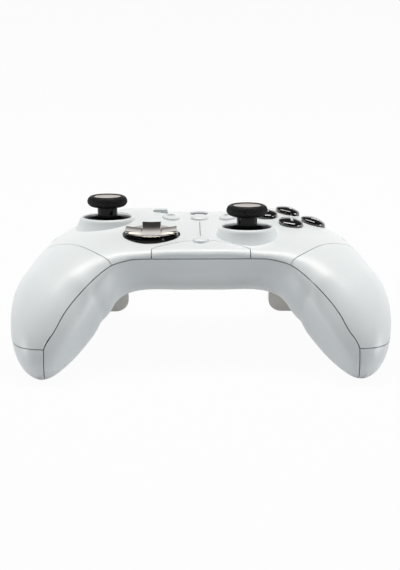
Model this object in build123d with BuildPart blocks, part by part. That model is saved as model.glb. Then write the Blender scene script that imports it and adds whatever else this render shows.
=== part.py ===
from build123d import *
import math
import os

# Game controller with two analogue sticks, a direction pad, four face buttons and two triggers.
# Frame while modelling: X right, Y away from the player, Z up out of the face, and Z zero on the
# crest of the left stick's collar. The last step seats every piece on the table plane.

# Driving sizes of the body, in millimetres
half_width = 76.5
face_depth = 64.0
grip_drop = 56.0
body_height = 28.0
wall = 2.2
seam = 0.35
reach_over = 120.0
wall_bite = 1.2
cup_wall = 1.4
cup_floor = 1.2
cup_ledge = 2.4

# Body sections from the middle to the tip of the right grip. Each row has the inner point and the
# outer point (shares of half width, face depth and grip drop), the fall in degrees, the height
# above and its slope, the depth below (shares of body height) and its slope, and the roundness of
# the upper and of the lower half.
station_shares = [
    (0.000, -0.414, -0.223, 0.000, 0.570, -0.179, 0.0, 0.299, 0.076, 0.657, 0.17, 6.0, 3.6),
    (0.183, -0.414, -0.223, 0.193, 0.581, -0.179, 0.0, 0.307, 0.086, 0.657, 0.17, 6.0, 3.5),
    (0.327, -0.419, -0.229, 0.399, 0.606, -0.182, 3.0, 0.336, 0.112, 0.654, 0.14, 5.0, 3.2),
    (0.418, -0.444, -0.259, 0.591, 0.563, -0.229, 8.0, 0.371, 0.080, 0.643, 0.08, 3.9, 2.9),
    (0.478, -0.488, -0.330, 0.753, 0.414, -0.321, 16.0, 0.446, 0.040, 0.607, 0.02, 3.1, 2.7),
    (0.525, -0.538, -0.429, 0.880, 0.164, -0.438, 25.0, 0.511, 0.000, 0.571, 0.00, 2.6, 2.5),
    (0.570, -0.588, -0.545, 0.965, -0.117, -0.554, 33.0, 0.536, 0.000, 0.550, 0.00, 2.4, 2.4),
    (0.617, -0.638, -0.670, 1.000, -0.359, -0.679, 39.0, 0.507, 0.000, 0.514, 0.00, 2.3, 2.3),
    (0.669, -0.686, -0.786, 0.993, -0.539, -0.795, 43.0, 0.425, 0.000, 0.436, 0.00, 2.2, 2.2),
    (0.724, -0.731, -0.882, 0.957, -0.669, -0.886, 45.0, 0.300, 0.000, 0.307, 0.00, 2.1, 2.1),
    (0.774, -0.764, -0.943, 0.905, -0.744, -0.943, 45.0, 0.164, 0.000, 0.168, 0.00, 2.0, 2.0),
    (0.822, -0.777, -0.969, 0.857, -0.773, -0.969, 45.0, 0.046, 0.000, 0.048, 0.00, 2.0, 2.0),
]
hollow_stations = 9
section_points = 24

# Parting line across the front and down the grips, seen along Y
parting_drop = 10.9
tip_seam_x = 62.5
tip_seam_drop = 42.6
parting_shares = [(0.340, 0.195), (0.401, 0.205), (0.468, 0.227), (0.532, 0.279), (0.596, 0.350),
                  (0.659, 0.436), (0.720, 0.539), (0.770, 0.654)]
# Side seam from the shoulder to the tip, seen along X
side_seam_start_x = 40.0
side_seam_shares = [(0.90, 0.270), (0.40, 0.285), (0.25, 0.320), (0.06, 0.390), (-0.16, 0.485),
                    (-0.38, 0.600), (-0.56, 0.700)]
# Shoulder seam seen from above
shoulder_shares = [(0.420, -0.565), (0.476, -0.467), (0.528, -0.415), (0.594, -0.322),
                   (0.714, -0.123), (0.800, -0.030), (0.890, 0.070), (1.100, 0.230)]
# Chin panel under the lower centre button, seen from above
chin_half_width = 20.2
chin_side_y = -23.6
chin_shoulder_x = 16.9
chin_shoulder_y = -21.4
chin_top_half = 5.8
chin_top_y = -15.8
# Bridge between the bumpers, seen from above
bridge_half = 15.5
bridge_side_y = 34.2
bridge_knee_x = 11.0
bridge_knee_y = 33.0
bridge_notch_half = 4.3
bridge_notch_y = 30.2

# Sticks
stick_left_x = -39.8
stick_left_y = 14.5
stick_left_z = 0.0
stick_right_x = 19.6
stick_right_y = -6.6
stick_right_z = -0.8
collar_crest_radius = 11.1
collar_mouth_radius = 10.8
collar_base_radius = 14.8
collar_edge = 0.5
collar_base_depth = 6.2
collar_slope_shares = [(0.16, 0.06), (0.32, 0.27), (0.50, 0.53), (0.72, 0.77)]
collar_root_depth = 9.0
collar_lip_radius = 8.8
collar_lip_depth = 4.6
pivot_depth = 11.0
dome_radius = 9.5
dome_wall = 1.0
dome_angle = 72.0
rod_radius = 1.5
rod_below_pivot = 2.2
stem_radius = 4.3
stem_flare_radius = 6.2
stem_flare_drop = 2.4
stem_post_radius = 2.5
cap_radius = 8.4
cap_under_height = 4.0
cap_wide_height = 6.6
cap_top_height = 9.0
cap_under_radius = 5.4
cap_top_radius = 6.9
cap_post_depth = 1.8
disc_radius = 6.1
disc_depth = 0.9
disc_proud = 0.15
rocker_half_x = 2.4
rocker_half_y = 2.8
rocker_half_z = 1.9
cradle_half_x = 5.0
cradle_half_y = 4.6
cradle_inner_x = 3.2
cradle_inner_y = 3.1
cradle_half_z = 1.5
trunnion_radius = 0.8
trunnion_length = 1.3
cheek_gap = 0.4
cheek_thickness = 1.0
cheek_half_y = 3.0
cheek_above_pivot = 2.0
module_half = 6.5
module_below_pivot = 3.2
running_fit = 0.05

# Direction pad
pad_x = -20.5
pad_y = -6.6
pad_ring_radius = 12.0
pad_ring_inner = 8.7
pad_ring_top = -4.2
pad_ring_height = 5.6
pad_ring_gap = 0.1
dish_radius = 11.1
dish_bottom = -3.3
dish_rim = 0.7
dish_wall_height = 1.9
dish_floor_depth = 1.5
dish_floor_radius = 3.0
dish_lip = 0.4
cross_half_width = 4.1
cross_reach = 10.2
cross_end_proud = 1.0
cross_dip = 1.6
pad_skirt_radius = 7.4
pad_skirt_inner = 6.2
pad_skirt_depth = 7.2
pad_pivot_drop = 8.6
carrier_radius = 5.4
carrier_inner = 3.6
carrier_half_height = 1.3
pad_post_radius = 2.6
pad_post_above_pivot = 1.8
pad_pin_radius = 0.8

# Face buttons
cluster_x = 39.2
cluster_y = 17.5
cluster_reach_x = 10.5
cluster_reach_y = 9.0
face_button_radius = 5.2
face_button_proud = 1.9
face_button_dome = 13.0
face_button_edge = 0.5
face_button_inner = 4.5
face_button_ceiling = 2.4
flange_extra = 0.5
tab_extra = 1.0
flange_height = 0.9
button_gap = 0.1
seat_depth = 2.6
face_button_bottom = -8.3
pad_board_radius = 15.0
pad_board_top = -10.2
pad_board_thickness = 1.2
pad_board_side_x = 51.6
pad_sheet = 0.6
chimney_radius = 4.0
chimney_inner = 3.2
chimney_height = 2.2
pad_board_post_radius = 1.5
pad_board_post_x = 31.5
pad_board_post_y = 6.5

# Small centre buttons
row_y = 17.6
side_button_x = 12.4
small_button_radius = 3.8
small_button_proud = 1.1
small_button_dome = 9.0
small_button_edge = 0.35
lower_button_y = -15.8
lower_button_radius = 3.3
home_y = 26.8
home_radius = 4.0
home_proud = 0.5
home_dome = 20.0
mode_x = -17.0
mode_y = 26.6
mode_half_x = 3.05
mode_half_y = 1.9
mode_proud = 1.3
button_post_radius = 1.6
button_head_depth = 3.4
switch_half = 2.3
switch_height = 2.4
switch_plunger_radius = 1.1
switch_plunger_height = 0.6
switch_gap = 0.9

# Main board
board_top = -18.0
board_thickness = 1.6
board_back_y = 33.0
board_tongue_x = 10.0
board_shoulder_x = 28.0
board_shoulder_y = 32.0
board_step_x = 31.5
board_step_y = 29.0
board_wing_y = 22.3
board_wing_x = 52.6
board_wing_front_y = 4.0
board_waist_x = 46.0
board_waist_y = -10.0
board_front_x = 38.0
board_front_y = -18.0
board_corner_x = 22.0
chip_side = 8.0
chip_height = 1.2
chip_y = 6.0
small_chip_side = 5.0
small_chip_x = -33.0
small_chip_y = -3.0

# Screws and bosses
screw_front_x = 35.0
screw_front_y = -12.0
screw_back_x = 24.5
screw_back_y = 28.5
screw_radius = 1.1
screw_head_radius = 2.2
screw_head_height = 1.5
screw_seat_depth = 1.6
screw_length = 8.0
boss_radius = 3.5
face_boss_radius = 2.8
head_well_radius = 2.5
screw_fit = 0.03
recess_radius = 0.9
recess_depth = 0.8

# Battery and its door
battery_half_x = 23.0
battery_front_y = -8.0
battery_back_y = 22.0
battery_height = 4.8
battery_gap = 0.4
battery_edge = 1.2
door_half_x = 21.0
door_front_y = -10.0
door_back_y = 23.0
rib_thickness = 1.2
rib_pitch = 13.0

# Triggers
trigger_inner_x = 32.0
trigger_width = 18.2
hinge_y = 26.0
hinge_z = -15.5
trigger_reach = 21.4
trigger_drop = 33.7
trigger_boss = 2.5
trigger_skin_share = 0.105
trigger_cheek = 1.6
trigger_round = 1.1
trigger_back_shares = [(0.49, -0.056), (0.59, 0.134), (0.69, 0.371), (0.80, 0.608), (0.935, 0.816),
                       (1.0, 0.920)]
trigger_tip_shares = [(0.965, 0.990), (0.87, 1.000)]
trigger_front_shares = [(0.76, 0.920), (0.61, 0.757), (0.44, 0.594), (0.23, 0.415), (0.05, 0.200)]
trigger_hollow_end_share = 0.5
trigger_corner = 6.5
trigger_top_wall = 2.0
trigger_gap = 0.6
opening_front_y = 14.0
opening_top = -13.3
pin_radius = 1.0
spring_radius = 2.1
spring_length = 8.0
bracket_thickness = 1.6
bracket_foot_front_y = 14.0
bracket_foot_back_y = 21.6
bracket_foot_height = 1.8
bracket_boss = 2.4
bracket_roof_front_y = 24.9
bracket_roof_back_y = 28.4

# Bumpers
bumper_bottom = -12.8
bumper_shares = [(0.222, 0.549), (0.330, 0.553), (0.450, 0.541), (0.575, 0.497), (0.680, 0.414),
                 (0.758, 0.312), (0.800, 0.227), (0.830, 0.150)]
bumper_gap_x = 1.0
bumper_gap_y = 1.4
bumper_hinge_x = 18.5
bumper_hinge_y = 30.6
bumper_post_radius = 1.0
bumper_post_bottom = -9.6
bumper_boss_radius = 2.2
bumper_boss_top = -5.2
bumper_boss_height = 3.8
bumper_arm_end_y = 36.4
bumper_arm_half = 1.6
bumper_rib_x = 47.0
bumper_rib_half = 0.8
bumper_rib_front_y = 30.4
bumper_rib_bottom = -10.4
bumper_rib_height = 3.0
bumper_switch_half = 2.6
bumper_switch_height = 2.1
bumper_switch_depth = 3.0
bumper_switch_plunger = 0.9
bumper_switch_plunger_length = 0.8

# Rumble motors
motor_x = 56.0
motor_y = -18.0
motor_z = -30.0
motor_radius = 6.5
motor_length = 12.0
motor_shaft_radius = 0.8
weight_radius = 6.2
weight_thickness = 4.0
weight_gap = 1.0
weight_hub_radius = 2.0
motor_rib_inset = 3.0
motor_rib_thickness = 1.8
motor_rib_gap = 0.1

# Charging socket
socket_half_x = 4.45
socket_height = 3.2
socket_front_y = 29.5
socket_back_y = 35.0
socket_wall = 0.35
socket_depth = 4.6
socket_tongue = 0.35
socket_tongue_half_x = 3.3
socket_clearance = 0.35

# Seat on the table
tip_rest_y_share = -0.750
seat_steps = 24
seat_limit = 12.0


def section_frame(row, side):
    """Middle, half width and plane of one body section, mirrored for side -1."""
    inner = Vector(row[0] * half_width * side, row[1] * face_depth, row[2] * grip_drop)
    outer = Vector(row[3] * half_width * side, row[4] * face_depth, row[5] * grip_drop)
    span = outer - inner
    across = span.normalized()
    ahead = Vector(across.Y, -across.X, 0).normalized() * side
    fall = math.radians(row[6])
    travel = ahead * math.cos(fall) + Vector(0, 0, -1) * math.sin(fall)
    up = travel.cross(across).normalized() * side
    middle = (inner + outer) * 0.5
    return middle, span.length / 2, Plane(origin=middle, x_dir=across, z_dir=across.cross(up))


def section_outline(row, half, inset):
    """Rounded box outline of one section, drawn in its own plane."""
    above, above_slope, below, below_slope, roundness, lower_roundness = row[7:13]
    points = []
    for i in range(section_points):
        turn = 2 * math.pi * i / section_points
        c, s = math.cos(turn), math.sin(turn)
        power = roundness if s >= 0 else lower_roundness
        x = (half - inset) * math.copysign(abs(c) ** (2 / power), c)
        if s >= 0:
            height = above * body_height + above_slope * x - inset
        else:
            height = below * body_height + below_slope * x - inset
        points.append((x, height * math.copysign(abs(s) ** (2 / power), s)))
    return points


def body_sections(count):
    """Sections in order from the left tip to the right tip."""
    rows = station_shares[:count]
    left = [(row, -1) for row in reversed(rows[1:])]
    return left + [(row, 1) for row in rows]


def body_form(count, inset):
    """Smooth body through the sections, inset by a wall."""
    with BuildPart() as form:
        for row, side in body_sections(count):
            middle, half, plane = section_frame(row, side)
            with BuildSketch(plane):
                with BuildLine():
                    Spline(*section_outline(row, half, inset), periodic=True)
                make_face()
        loft()
    return form


outer_body = body_form(len(station_shares), 0)
inner_body = body_form(hollow_stations, wall)
bite_body = body_form(hollow_stations, wall - wall_bite)


def face_point(x, y):
    """Point and upward normal of the outer face above or below x, y."""
    hits = outer_body.part.find_intersection_points(Axis((x, y, reach_over), (0, 0, -1)))
    point, normal = max(hits, key=lambda hit: hit[0].Z)
    if normal.Z < 0:
        normal = normal * -1
    return point, normal


def mirrored(points):
    return [(-x, y) for x, y in reversed(points)]
def beside(points, gap):
    """The same line moved to its left by the gap."""
    moved = []
    for i, (x, y) in enumerate(points):
        before = points[max(i - 1, 0)]
        after = points[min(i + 1, len(points) - 1)]
        run = math.hypot(after[0] - before[0], after[1] - before[1])
        moved.append((x - gap * (after[1] - before[1]) / run, y + gap * (after[0] - before[0]) / run))
    return moved


def below_parting(grow):
    """Everything under the parting line, grown or shrunk in the front view."""
    edge = [(x * half_width, -z * grip_drop) for x, z in parting_shares]
    edge = beside([(edge[0][0], -parting_drop)] + edge[1:], grow)
    edge[0] = (edge[0][0], grow - parting_drop)
    edge = edge + [(tip_seam_x + grow, -tip_seam_drop)]
    other = mirrored(edge)
    with BuildPart() as region:
        with BuildSketch(Plane.XZ):
            with BuildLine():
                Line(other[-1], edge[0])
                Spline(*edge, tangents=[(1, 0), (1, -3)])
                Polyline(edge[-1], (edge[-1][0], -reach_over), (other[0][0], -reach_over), other[0])
                Spline(*other, tangents=[(1, 3), (1, 0)])
            make_face()
        extrude(amount=reach_over, both=True)
    return region.part


def behind_side_seam(grow, side):
    """Outer back of one grip, under the side seam."""
    edge = [(y * face_depth, -z * grip_drop) for y, z in side_seam_shares]
    edge = beside(edge + [(tip_rest_y_share * face_depth, -tip_seam_drop)], -grow)
    edge[-1] = (edge[-1][0], grow - tip_seam_drop)
    start = Plane.YZ.offset(side * (side_seam_start_x - grow))
    with BuildPart() as region:
        with BuildSketch(start):
            with BuildLine():
                Spline(*edge, tangents=[(-1, 0), (-1, 0)])
                Polyline(edge[-1], (-reach_over, edge[-1][1]), (-reach_over, -reach_over),
                         (edge[0][0], -reach_over), edge[0])
            make_face()
        extrude(amount=side * reach_over)
    return region.part


def outside_shoulder(grow, side):
    """Grip side of the shoulder seam."""
    edge = beside([(x * half_width, y * face_depth) for x, y in shoulder_shares], grow)
    edge = [(side * x, y) for x, y in edge]
    with BuildPart() as region:
        with BuildSketch(Plane.XY.offset(-reach_over)):
            with BuildLine():
                Spline(*edge)
                Polyline(edge[-1], (side * reach_over, edge[-1][1]), (side * reach_over, -reach_over),
                         (edge[0][0], -reach_over), edge[0])
            make_face()
        extrude(amount=2 * reach_over)
    return region.part


def chin_region(grow):
    """Chin panel outline, through the whole height."""
    corners = [(chin_half_width, -reach_over), (chin_half_width, chin_side_y),
               (chin_shoulder_x, chin_shoulder_y), (chin_top_half, chin_top_y)]
    with BuildPart() as region:
        with BuildSketch(Plane.XY.offset(-reach_over)):
            Polygon(*corners, *mirrored(corners), align=None)
            offset(amount=grow, kind=Kind.INTERSECTION)
        extrude(amount=2 * reach_over)
    return region.part


def bridge_region(grow):
    """Bridge outline between the bumpers, through the whole height."""
    corners = [(bridge_half, reach_over), (bridge_half, bridge_side_y),
               (bridge_knee_x, bridge_knee_y), (bridge_notch_half, bridge_notch_y)]
    with BuildPart() as region:
        with BuildSketch(Plane.XY.offset(-reach_over)):
            Polygon(*corners, *mirrored(corners), align=None)
            offset(amount=grow, kind=Kind.INTERSECTION)
        extrude(amount=2 * reach_over)
    return region.part


def bumper_region(side, loose):
    """Bumper outline; loose opens the gap that the press needs, widest at the outer end."""
    last = len(bumper_shares) - 1
    edge = []
    for i, (x, y) in enumerate(bumper_shares):
        edge.append((side * (x * half_width - loose * bumper_gap_x * i / last),
                     y * face_depth - loose * (seam + bumper_gap_y * i / last)))
    inner_x = side * (bridge_half + (1 - loose) * seam)
    edge = [(inner_x, edge[0][1])] + edge
    with BuildPart() as region:
        with BuildSketch(Plane.XY.offset(bumper_bottom - loose * seam)):
            with BuildLine():
                Spline(*edge)
                Polyline(edge[-1], (side * reach_over, edge[-1][1]), (side * reach_over, reach_over),
                         (inner_x, reach_over), edge[0])
            make_face()
        extrude(amount=reach_over)
    return region.part


def trigger_opening(side):
    """Opening in the back and floor that one trigger swings through."""
    width = trigger_width + 2 * trigger_gap
    with BuildPart() as region:
        with BuildSketch(Plane.XY.offset(opening_top)):
            with Locations((side * (trigger_inner_x + trigger_width / 2), opening_front_y)):
                Rectangle(width, reach_over, align=(Align.CENTER, Align.MIN))
        extrude(amount=-reach_over)
    return region.part


def stick_collar(x, y, crest):
    """Collar with its middle still filled."""
    with BuildPart() as piece:
        with BuildSketch(Plane(origin=(x, y, crest), x_dir=(1, 0, 0), z_dir=(0, -1, 0))):
            with BuildLine():
                flare = collar_base_radius - collar_crest_radius
                along = [(collar_crest_radius + out * flare, -down * collar_base_depth)
                         for out, down in collar_slope_shares]
                slope = Spline((collar_crest_radius, 0), *along, (collar_base_radius, -collar_base_depth))
                Polyline(slope @ 1, (collar_base_radius, -collar_root_depth),
                         (0, -collar_root_depth), (0, 0), slope @ 0)
            make_face()
        revolve(axis=Axis((x, y, 0), (0, 0, 1)))
    return piece.part


def stick_bowl(x, y, crest):
    """Space inside the collar, with its lip."""
    with BuildPart() as piece:
        with BuildSketch(Plane(origin=(x, y, crest), x_dir=(1, 0, 0), z_dir=(0, -1, 0))):
            with BuildLine():
                Polyline((0, reach_over), (collar_crest_radius, reach_over),
                         (collar_crest_radius, 0), (collar_mouth_radius, -collar_edge),
                         (collar_lip_radius, -collar_lip_depth),
                         (collar_lip_radius, -collar_lip_depth - wall / 2),
                         (collar_base_radius - wall, -collar_root_depth),
                         (collar_base_radius - wall, board_top - crest), (0, board_top - crest),
                         (0, reach_over))
            make_face()
        revolve(axis=Axis((x, y, 0), (0, 0, 1)))
    return piece.part


# Closed body with the stick collars, hollowed and cut open for bumpers and triggers,
# then split along the seams
with BuildPart() as shell_body:
    add(outer_body.part)
    add(stick_collar(stick_left_x, stick_left_y, stick_left_z))
    add(stick_collar(stick_right_x, stick_right_y, stick_right_z))
    add(stick_bowl(stick_left_x, stick_left_y, stick_left_z), mode=Mode.SUBTRACT)
    add(stick_bowl(stick_right_x, stick_right_y, stick_right_z), mode=Mode.SUBTRACT)
    add(inner_body.part, mode=Mode.SUBTRACT)
    for side in (1, -1):
        add(bumper_region(side, 1), mode=Mode.SUBTRACT)
        add(trigger_opening(side), mode=Mode.SUBTRACT)

with BuildPart() as upper_body:
    add(shell_body.part)
    add(below_parting(seam / 2), mode=Mode.SUBTRACT)

with BuildPart() as rear_shell:
    add(shell_body.part)
    add(below_parting(-seam / 2), mode=Mode.INTERSECT)

with BuildPart() as right_side_rail:
    add(upper_body.part)
    add(behind_side_seam(-seam / 2, 1), mode=Mode.INTERSECT)

with BuildPart() as right_grip_cover:
    add(upper_body.part)
    add(behind_side_seam(seam / 2, 1), mode=Mode.SUBTRACT)
    add(outside_shoulder(-seam / 2, 1), mode=Mode.INTERSECT)

with BuildPart() as face_body:
    add(upper_body.part)
    for side in (1, -1):
        add(behind_side_seam(seam / 2, side), mode=Mode.SUBTRACT)
        add(outside_shoulder(seam / 2, side), mode=Mode.SUBTRACT)

with BuildPart() as top_bridge:
    add(face_body.part)
    add(bridge_region(-seam / 2), mode=Mode.INTERSECT)

with BuildPart() as chin_panel:
    add(face_body.part)
    add(chin_region(-seam / 2), mode=Mode.INTERSECT)

with BuildPart() as front_shell:
    add(face_body.part)
    add(bridge_region(seam / 2), mode=Mode.SUBTRACT)
    add(chin_region(seam / 2), mode=Mode.SUBTRACT)


def surface_head(x, y, radius, proud, dome, edge, depth):
    """Domed head that follows the lean of the face around it."""
    point, normal = face_point(x, y)
    crown = point + normal * proud
    ball = crown - normal * dome
    with BuildPart() as head:
        with BuildSketch(Plane.XY.offset(point.Z - depth)):
            with Locations((x, y)):
                Circle(radius)
        extrude(amount=depth + dome)
        with Locations(ball):
            Sphere(dome, mode=Mode.INTERSECT)
        rim = head.edges().filter_by(GeomType.CIRCLE, reverse=True).sort_by(Axis.Z)[-1]
        fillet(rim, edge)
    return head.part, point


# Sticks: the cradle turns about X in the module, the rocker about Y in the cradle, the shaft slides
def stick_shaft(x, y, crest):
    pivot = crest - pivot_depth
    tilt = math.radians(dome_angle)
    hole = math.asin(rod_radius / (dome_radius - dome_wall))
    outer = dome_radius
    inner = dome_radius - dome_wall
    flare = math.asin(stem_flare_radius / dome_radius)
    cap_under = crest + cap_under_height
    post_top = crest + cap_top_height - disc_depth - cap_post_depth
    with BuildPart() as piece:
        with BuildSketch(Plane(origin=(x, y, pivot), x_dir=(1, 0, 0), z_dir=(0, -1, 0))):
            with BuildLine():
                Polyline((0, -rod_below_pivot), (rod_radius, -rod_below_pivot),
                         (rod_radius, inner * math.cos(hole)))
                CenterArc((0, 0), inner, 90 - math.degrees(hole), math.degrees(hole) - dome_angle)
                Line((inner * math.sin(tilt), inner * math.cos(tilt)),
                     (outer * math.sin(tilt), outer * math.cos(tilt)))
                CenterArc((0, 0), outer, 90 - dome_angle, dome_angle - math.degrees(flare))
                Spline((stem_flare_radius, outer * math.cos(flare)),
                       (stem_radius, outer * math.cos(flare) + stem_flare_drop),
                       tangents=[(-1, 0.6), (0, 1)])
                Polyline((stem_radius, outer * math.cos(flare) + stem_flare_drop),
                         (stem_radius, cap_under - pivot), (stem_post_radius, cap_under - pivot),
                         (stem_post_radius, post_top - pivot), (0, post_top - pivot),
                         (0, -rod_below_pivot))
            make_face()
        revolve(axis=Axis((x, y, 0), (0, 0, 1)))
    return piece


def stick_cap(x, y, crest):
    floor = cap_top_height - disc_depth
    post_top = floor - cap_post_depth
    with BuildPart() as piece:
        with BuildSketch(Plane(origin=(x, y, crest), x_dir=(1, 0, 0), z_dir=(0, -1, 0))):
            with BuildLine():
                belly = Spline((cap_under_radius, cap_under_height), (cap_radius, cap_wide_height),
                               (cap_top_radius, cap_top_height), tangents=[(1, 0.15), (-1, 0.1)])
                Polyline(belly @ 1, (disc_radius, cap_top_height), (disc_radius, floor), (0, floor),
                         (0, post_top), (stem_post_radius, post_top),
                         (stem_post_radius, cap_under_height), belly @ 0)
            make_face()
        revolve(axis=Axis((x, y, 0), (0, 0, 1)))
    return piece


def stick_disc(x, y, crest):
    with BuildPart() as piece:
        with BuildSketch(Plane.XY.offset(crest + cap_top_height - disc_depth)):
            with Locations((x, y)):
                Circle(disc_radius)
        extrude(amount=disc_depth + disc_proud)
        fillet(piece.edges().sort_by(Axis.Z)[-1], disc_proud)
    return piece


def stick_rocker(x, y, crest):
    pivot = crest - pivot_depth
    with BuildPart() as piece:
        with Locations((x, y, pivot)):
            Box(2 * rocker_half_x, 2 * rocker_half_y, 2 * rocker_half_z)
            Cylinder(trunnion_radius, 2 * cradle_half_y, rotation=(90, 0, 0))
            Cylinder(rod_radius + running_fit, 4 * rocker_half_z, mode=Mode.SUBTRACT)
    return piece


def stick_cradle(x, y, crest):
    pivot = crest - pivot_depth
    with BuildPart() as piece:
        with Locations((x, y, pivot)):
            Box(2 * cradle_half_x, 2 * cradle_half_y, 2 * cradle_half_z)
            Cylinder(trunnion_radius, 2 * (cradle_half_x + trunnion_length), rotation=(0, 90, 0))
            Box(2 * cradle_inner_x, 2 * cradle_inner_y, 4 * cradle_half_z, mode=Mode.SUBTRACT)
            Cylinder(trunnion_radius + running_fit, 4 * cradle_half_y, rotation=(90, 0, 0),
                     mode=Mode.SUBTRACT)
    return piece


def stick_module(x, y, crest):
    pivot = crest - pivot_depth
    floor = pivot - module_below_pivot
    cheek_x = cradle_half_x + cheek_gap + cheek_thickness / 2
    with BuildPart() as piece:
        with BuildSketch(Plane.XY.offset(board_top)):
            with Locations((x, y)):
                Rectangle(2 * module_half, 2 * module_half)
        extrude(amount=floor - board_top)
        with BuildSketch(Plane.XY.offset(floor)):
            with Locations((x - cheek_x, y), (x + cheek_x, y)):
                Rectangle(cheek_thickness, 2 * cheek_half_y)
        extrude(amount=pivot + cheek_above_pivot - floor)
        with Locations((x, y, pivot)):
            Cylinder(trunnion_radius + running_fit, 2 * reach_over, rotation=(0, 90, 0),
                     mode=Mode.SUBTRACT)
    return piece


sticks = {}
for name, x, y, crest in (("left", stick_left_x, stick_left_y, stick_left_z),
                          ("right", stick_right_x, stick_right_y, stick_right_z)):
    sticks[name + "_stick_cap"] = stick_cap(x, y, crest)
    sticks[name + "_stick_disc"] = stick_disc(x, y, crest)
    sticks[name + "_stick_shaft"] = stick_shaft(x, y, crest)
    sticks[name + "_stick_rocker"] = stick_rocker(x, y, crest)
    sticks[name + "_stick_cradle"] = stick_cradle(x, y, crest)
    sticks[name + "_stick_module"] = stick_module(x, y, crest)


# Direction pad: the dish rocks about Y on the carrier ring, and the ring about X on the post
pad_pivot = dish_bottom - pad_pivot_drop + pad_skirt_depth / 2

with BuildPart() as dpad_base_ring:
    with BuildSketch(Plane.XY.offset(pad_ring_top - pad_ring_height)):
        with Locations((pad_x, pad_y)):
            Circle(pad_ring_radius)
            Circle(pad_ring_inner, mode=Mode.SUBTRACT)
    extrude(amount=pad_ring_height)
    chamfer(dpad_base_ring.edges().group_by(Axis.Z)[-1], dish_rim)

eighth_turn = 45
dish_top = dish_bottom + dish_rim + dish_wall_height
cross_top = dish_top + cross_end_proud
cross_ball = (cross_reach ** 2 + cross_dip ** 2) / (2 * cross_dip)

with BuildPart() as pad_cross:
    with BuildSketch(Plane.XY.offset(dish_bottom + dish_rim / 2)):
        with Locations((pad_x, pad_y)):
            Rectangle(2 * cross_reach, 2 * cross_half_width)
            Rectangle(2 * cross_half_width, 2 * cross_reach)
    extrude(amount=cross_top - dish_bottom - dish_rim / 2)
    with Locations((pad_x, pad_y, cross_top - cross_dip + cross_ball)):
        Sphere(cross_ball, mode=Mode.SUBTRACT)

with BuildPart() as dpad_dish:
    with BuildSketch(Plane.XY.offset(dish_bottom)):
        with Locations((pad_x, pad_y)):
            Circle(dish_radius)
    extrude(amount=dish_rim)
    with BuildSketch(Plane.XY.offset(dish_bottom + dish_rim)):
        with Locations(Location((pad_x, pad_y), eighth_turn / 2)):
            RegularPolygon(dish_radius, 8)
    extrude(amount=dish_wall_height)
    with BuildSketch(Plane.XY.offset(dish_top)):
        with Locations(Location((pad_x, pad_y), eighth_turn / 2)):
            RegularPolygon(dish_radius - dish_lip, 8)
    with BuildSketch(Plane.XY.offset(dish_top - dish_floor_depth)):
        with Locations(Location((pad_x, pad_y), eighth_turn / 2)):
            RegularPolygon(dish_floor_radius, 8)
    loft(mode=Mode.SUBTRACT)
    add(pad_cross.part)
    with BuildSketch(Plane.XY.offset(dish_bottom)):
        with Locations((pad_x, pad_y)):
            Circle(pad_skirt_radius)
            Circle(pad_skirt_inner, mode=Mode.SUBTRACT)
    extrude(amount=-pad_skirt_depth)
    with Locations((pad_x, pad_y, pad_pivot)):
        Cylinder(pad_pin_radius + running_fit, 2 * dish_radius, rotation=(90, 0, 0),
                 mode=Mode.SUBTRACT)

with BuildPart() as dpad_carrier:
    with Locations((pad_x, pad_y, pad_pivot)):
        Cylinder(carrier_radius, 2 * carrier_half_height)
        Cylinder(pad_pin_radius, 2 * pad_skirt_radius, rotation=(90, 0, 0))
        Cylinder(carrier_inner, 4 * carrier_half_height, mode=Mode.SUBTRACT)
        Cylinder(pad_pin_radius + running_fit, 4 * carrier_radius, rotation=(0, 90, 0),
                 mode=Mode.SUBTRACT)

with BuildPart() as dpad_pivot:
    with BuildSketch(Plane.XY.offset(board_top)):
        with Locations((pad_x, pad_y)):
            Circle(pad_post_radius)
    extrude(amount=pad_pivot + pad_post_above_pivot - board_top)
    with Locations((pad_x, pad_y, pad_pivot)):
        Cylinder(pad_pin_radius, 2 * carrier_radius, rotation=(0, 90, 0))


# Face buttons: a domed head, two tabs that keep it in, and a skirt over the rubber chimney
button_places = [(cluster_x, cluster_y - cluster_reach_y), (cluster_x + cluster_reach_x, cluster_y),
                 (cluster_x - cluster_reach_x, cluster_y), (cluster_x, cluster_y + cluster_reach_y)]


def face_button(x, y):
    head, point = surface_head(x, y, face_button_radius, face_button_proud, face_button_dome,
                               face_button_edge, seat_depth)
    ceiling = point.Z - seat_depth
    with BuildPart() as piece:
        add(head)
        with BuildSketch(Plane.XY.offset(face_button_bottom)):
            with Locations((x, y)):
                Circle(face_button_radius)
        extrude(amount=ceiling - face_button_bottom)
        with BuildSketch(Plane.XY.offset(face_button_bottom)):
            with Locations((x, y)):
                Rectangle(face_button_radius, 2 * (face_button_radius + tab_extra))
        extrude(amount=flange_height)
        with BuildSketch(Plane.XY.offset(face_button_bottom)):
            with Locations((x, y)):
                Circle(face_button_inner)
        extrude(amount=ceiling - face_button_bottom, mode=Mode.SUBTRACT)
    return piece


face_buttons = [face_button(x, y) for x, y in button_places]
switch_notch = (bumper_rib_x - bumper_switch_half - seam,
                bracket_roof_back_y - bumper_switch_depth - seam)

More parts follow.
